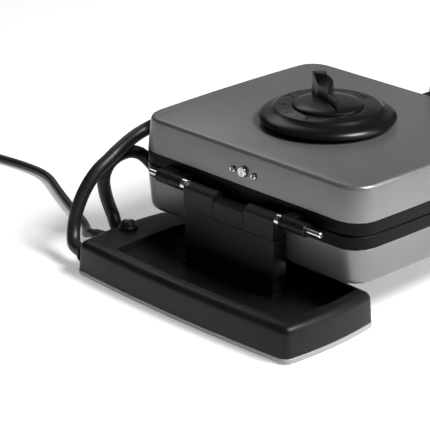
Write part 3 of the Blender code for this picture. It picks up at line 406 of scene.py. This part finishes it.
def smooth_path(route, step):
    """Evenly spaced points on one smooth curve through the route's points."""
    pts = [Vector(p) for p in route]
    pts = [2 * pts[0] - pts[1]] + pts + [2 * pts[-1] - pts[-2]]
    fine = []
    for p0, p1, p2, p3 in zip(pts, pts[1:], pts[2:], pts[3:]):
        t1 = sqrt((p1 - p0).length)
        t2 = t1 + sqrt((p2 - p1).length)
        t3 = t2 + sqrt((p3 - p2).length)
        for k in range(12):
            t = t1 + (t2 - t1) * k / 12
            a1 = p0 * ((t1 - t) / t1) + p1 * (t / t1)
            a2 = p1 * ((t2 - t) / (t2 - t1)) + p2 * ((t - t1) / (t2 - t1))
            a3 = p2 * ((t3 - t) / (t3 - t2)) + p3 * ((t - t2) / (t3 - t2))
            b1 = a1 * ((t2 - t) / t2) + a2 * (t / t2)
            b2 = a2 * ((t3 - t) / (t3 - t1)) + a3 * ((t - t1) / (t3 - t1))
            fine.append(b1 * ((t2 - t) / (t2 - t1)) + b2 * ((t - t1) / (t2 - t1)))
    fine.append(pts[-2])
    lengths = [0.0]
    for a, b in zip(fine, fine[1:]):
        lengths.append(lengths[-1] + (b - a).length)
    count = max(2, round(lengths[-1] / step))
    spaced = []
    at = 0
    for k in range(count + 1):
        goal = lengths[-1] * k / count
        while at < len(fine) - 2 and lengths[at + 1] < goal:
            at += 1
        share = (goal - lengths[at]) / (lengths[at + 1] - lengths[at])
        spaced.append(fine[at].lerp(fine[at + 1], share))
    return spaced


def tube_mesh(name, points, radius, sides=20):
    """A round tube along points, with closed ends."""
    mesh = bpy.data.meshes.new(name)
    work = bmesh.new()
    side = Vector((0, 0, 1))
    rings = []
    for k, p in enumerate(points):
        ahead = (points[min(k + 1, len(points) - 1)] - points[max(k - 1, 0)]).normalized()
        side = (side - ahead * side.dot(ahead)).normalized()
        other = ahead.cross(side)
        ring = []
        for j in range(sides):
            a = tau * j / sides
            ring.append(work.verts.new((p + (side * cos(a) + other * sin(a)) * radius) * 0.001))
        rings.append(ring)
    for a, b in zip(rings, rings[1:]):
        for i in range(sides):
            j = (i + 1) % sides
            work.faces.new((a[i], a[j], b[j], b[i]))
    work.faces.new(rings[0])
    work.faces.new(rings[-1])
    bmesh.ops.recalc_face_normals(work, faces=work.faces[:])
    work.to_mesh(mesh)
    work.free()
    mesh.shade_smooth()
    mesh.set_sharp_from_angle(angle=radians(40.0))
    piece = bpy.data.objects.new(name, mesh)
    bpy.context.collection.objects.link(piece)
    return piece


# Where each jumper's bend starts and ends. The upper one is cut where it crosses the hinge line.
PARTING_GAP = 0.15
PARTING_REACH = 4.0


def jumper(name, node, start, route, end):
    """A limp cable between two strain reliefs, built as one fixed tube."""
    points = [Vector(start[0]), *smooth_path([start[1], *route, end[1]], 3.5), Vector(end[0])]
    piece = dress(tube_mesh(name, points, JUMPER_RADIUS), "cord_rubber")
    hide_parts(node)
    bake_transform(piece)
    return piece


middle = Vector(PARTING_POINT)
before = (middle - PARTING_HEADING * PARTING_GAP, middle - PARTING_HEADING * PARTING_REACH)
after = (middle + PARTING_HEADING * PARTING_GAP, middle + PARTING_HEADING * PARTING_REACH)
jumper("upper_jumper_first_run", "upper_jumper_base_run", MOUTHS["upper_jumper_gland"], UPPER_JUMPER_BASE,
       before)
jumper("upper_jumper_second_run", "upper_jumper_lid_run", after, UPPER_JUMPER_LID,
       MOUTHS["upper_shell_gland"])
jumper("lower_jumper_cable", "lower_jumper", MOUTHS["lower_jumper_gland"], LOWER_JUMPER,
       MOUTHS["lower_shell_gland"])


def ease(t):
    t = max(0.0, min(1.0, t))
    return t * t * (3 - 2 * t)


def coil_points():
    """The lead's turns, from where it runs in along the floor to where it leaves for the plug."""
    cx, cy = COIL_CENTRE
    points = []
    for a in range(COIL_START, COIL_END + 1, COIL_STEP):
        inward = ease((a - COIL_INWARD) / COIL_EASE) - ease((a - COIL_OUTWARD) / COIL_EASE)
        radius = COIL_OUTER + (COIL_INNER - COIL_OUTER) * inward
        z = COIL_LOW + (COIL_HIGH - COIL_LOW) * ease((a - COIL_CLIMB) / COIL_EASE)
        points.append((cx + radius * cos(radians(a)), cy + radius * sin(radians(a)), z))
    return points


def make_mains_cord():
    cx, cy = COIL_CENTRE
    across = Vector((cos(PLUG_PLACE), sin(PLUG_PLACE), 0))
    out = Vector((-sin(PLUG_PLACE), cos(PLUG_PLACE), 0))
    leaves = Vector((cx, cy, 0)) + across * COIL_OUTER
    tail = [leaves + out * 10 + Vector((0, 0, 10.9)), leaves + out * 20 + Vector((0, 0, 7.6)),
            leaves + out * (PLUG_REACH - 0.4) + Vector((0, 0, PLUG_BOOT_Z))]
    start = MOUTHS["mains_gland"]
    route = [*start, *MAINS_ROUTE, *coil_points(), *[tuple(p) for p in tail]]
    points = smooth_path(route, 6.0)
    curve = bpy.data.curves.new("mains_lead", "CURVE")
    curve.dimensions = "3D"
    curve.bevel_depth = MAINS_RADIUS * 0.001
    curve.bevel_resolution = 4
    curve.use_fill_caps = True
    line = curve.splines.new("POLY")
    line.points.add(len(points) - 1)
    for spot, p in zip(line.points, points):
        spot.co = (*mm(*p), 1.0)
    lead = bpy.data.objects.new("mains_lead", curve)
    bpy.context.collection.objects.link(lead)
    dress(lead, "cord_rubber")
    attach(lead, "base")
    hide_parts("mains_cord", "mains_coil")


make_mains_cord()


# ---------------------------------------------------------------- dial marks

DIAL_CENTRE = (0.0, 7.1)
DIAL_FACE_Z = 138.6
MARK_RADIUS = 38.2
FIRST_MARK = 205.0  # the place of the 1, in degrees from +X
MARK_STEP = -33.0
DIGITS = "1234567"
DIGIT_HEIGHT = 6.6
MARK_THICKNESS = 0.12
REST_MARK = 266.0  # the middle of the marks opposite the numbers
REST_MARK_STEP = 8.0


def dial_place(angle, radius):
    a = radians(angle)
    return (DIAL_CENTRE[0] + radius * cos(a), DIAL_CENTRE[1] + radius * sin(a), DIAL_FACE_Z)


def place_mark(piece, angle, radius):
    piece.location = mm(*dial_place(angle, radius))
    piece.rotation_euler = (0, 0, radians(angle - 90))
    dress(piece, "dial_marks")
    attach(piece, "upper_half")


def digit(text, angle):
    """A printed number, standing with its head outwards."""
    curve = bpy.data.curves.new(f"digit_{text}", "FONT")
    curve.body = text
    curve.size = DIGIT_HEIGHT * 0.001 / 0.7
    curve.align_x = "CENTER"
    curve.align_y = "CENTER"
    curve.extrude = MARK_THICKNESS * 0.0005
    curve.offset = 0.00012
    sample = bpy.data.objects.new("digit_sample", curve)
    mesh = bpy.data.meshes.new_from_object(sample)
    bpy.data.objects.remove(sample)
    piece = bpy.data.objects.new(f"dial_digit_{text}", mesh)
    bpy.context.collection.objects.link(piece)
    place_mark(piece, angle, MARK_RADIUS)


def tick(name, angle, length, width, radius):
    """A printed line with clipped corners, pointing at the dial's centre."""
    x, y, z, c = width / 2, length / 2, MARK_THICKNESS / 2, width * 0.25
    outline = [
        (-x + c, -y), (x - c, -y), (x, -y + c), (x, y - c),
        (x - c, y), (-x + c, y), (-x, y - c), (-x, -y + c),
    ]
    mesh = bpy.data.meshes.new(name)
    verts = [mm(px, py, -z) for px, py in outline] + [mm(px, py, z) for px, py in outline]
    faces = [tuple(range(7, -1, -1)), tuple(range(8, 16))]
    faces += [(i, (i + 1) % 8, 8 + (i + 1) % 8, 8 + i) for i in range(8)]
    mesh.from_pydata(verts, [], faces)
    piece = bpy.data.objects.new(name, mesh)
    bpy.context.collection.objects.link(piece)
    place_mark(piece, angle, radius)


MATERIALS["dial_marks"] = moulded_plastic("dial_marks_look", (0.0015, 0.0015, 0.0015), 0.6)
for k, text in enumerate(DIGITS):
    digit(text, FIRST_MARK + MARK_STEP * k)
    if k:
        tick(f"dial_tick_{k}", FIRST_MARK + MARK_STEP * (k - 0.5), 3.6, 0.8, 36.4)
for k in range(-1, 2):
    tick(f"dial_rest_mark_{k + 2}", REST_MARK + REST_MARK_STEP * k, 7.0 - 2.0 * abs(k), 1.0, MARK_RADIUS)


# ---------------------------------------------------------------- floor and light

FLOOR_HALF = 6.0
FLOOR_WHITE = 0.9
FLOOR_GLOW = 0.34
WORLD_LIGHT = 0.05
# Soft boxes: name, place, target, width, height, brightness. A white floor in full light is about 1.
LIGHTS = (
    ("backdrop", (1.75, -1.6, 0.75), (0.0, 0.0, 0.1), 2.2, 1.2, 0.22),
    ("strip", (1.2, -0.45, 1.25), (0.0, 0.1, 0.1), 1.0, 0.6, 1.7),
    ("key", (-1.1, -0.3, 1.5), (0.0, 0.05, 0.05), 0.7, 0.7, 31.0),
    ("side", (-1.5, -0.8, 0.65), (0.0, 0.0, 0.1), 1.0, 0.8, 2.6),
)


def make_stage():
    mesh = bpy.data.meshes.new("floor")
    half = FLOOR_HALF
    mesh.from_pydata([(-half, -half, 0), (half, -half, 0), (half, half, 0), (-half, half, 0)], [],
                     [(0, 1, 2, 3)])
    floor = bpy.data.objects.new("floor", mesh)
    bpy.context.collection.objects.link(floor)
    made, tree, shader = new_material("floor_look")
    shader.inputs["Base Color"].default_value = (FLOOR_WHITE, FLOOR_WHITE, FLOOR_WHITE, 1.0)
    shader.inputs["Roughness"].default_value = 0.85
    shader.inputs["Emission Color"].default_value = (1.0, 1.0, 1.0, 1.0)
    shader.inputs["Emission Strength"].default_value = FLOOR_GLOW
    mesh.materials.append(made)


def area_light(name, place, target, width, height, radiance):
    """A soft box whose power follows its size, so that its brightness stays as given."""
    data = bpy.data.lights.new(name, "AREA")
    data.shape = "RECTANGLE"
    data.size = width
    data.size_y = height
    data.energy = radiance * width * height * pi
    light = bpy.data.objects.new(name, data)
    bpy.context.collection.objects.link(light)
    light.location = place
    light.rotation_euler = (Vector(target) - Vector(place)).to_track_quat("-Z", "Y").to_euler()


def make_world():
    world = bpy.data.worlds.new("studio")
    world.use_nodes = True
    background = world.node_tree.nodes["Background"]
    background.inputs["Color"].default_value = (1.0, 1.0, 1.0, 1.0)
    background.inputs["Strength"].default_value = WORLD_LIGHT
    bpy.context.scene.world = world


make_stage()
make_world()
for light in LIGHTS:
    area_light(*light)
bpy.context.scene.view_settings.view_transform = "Standard"
